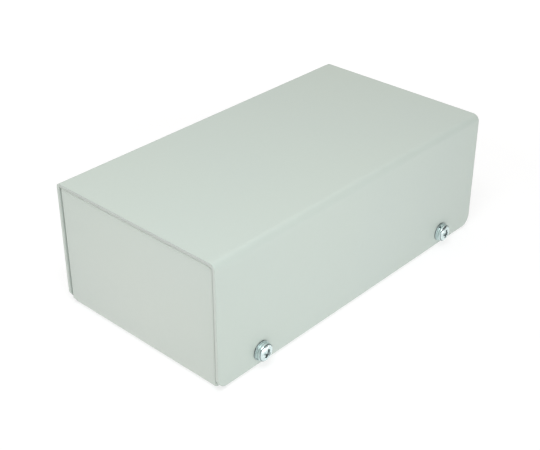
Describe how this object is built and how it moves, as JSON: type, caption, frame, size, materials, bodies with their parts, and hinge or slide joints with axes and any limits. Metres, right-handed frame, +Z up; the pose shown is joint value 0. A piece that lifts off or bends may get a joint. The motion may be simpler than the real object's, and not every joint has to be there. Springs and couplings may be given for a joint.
{
  "type": "folded aluminium instrument box",
  "caption": "Small folded sheet aluminium instrument box, powder coated pale grey green: a U-shaped cover held over a tray by pan head screws with washers low on its long sides.",
  "frame": {"origin": "centre of the tray's underside, on the surface the box stands on", "axes": "+X along the box's length to its right end, +Y to its back, +Z up; the front is the long side at -Y"},
  "size_m": [0.126, 0.0726, 0.0433],
  "materials": {
    "paint": "satin powder coat, pale grey green, faint fine orange peel",
    "zinc": "bright zinc plate with a faint blue tint"
  },
  "bodies": {
    "root": {"cover": "paint", "tray": "paint", "front_left_screw": "zinc", "front_left_spring_washer": "zinc", "front_left_flat_washer": "zinc", "front_right_screw": "zinc", "front_right_spring_washer": "zinc", "front_right_flat_washer": "zinc", "back_left_screw": "zinc", "back_left_spring_washer": "zinc", "back_left_flat_washer": "zinc", "back_right_screw": "zinc", "back_right_spring_washer": "zinc", "back_right_flat_washer": "zinc"}
  },
  "joints": []
}
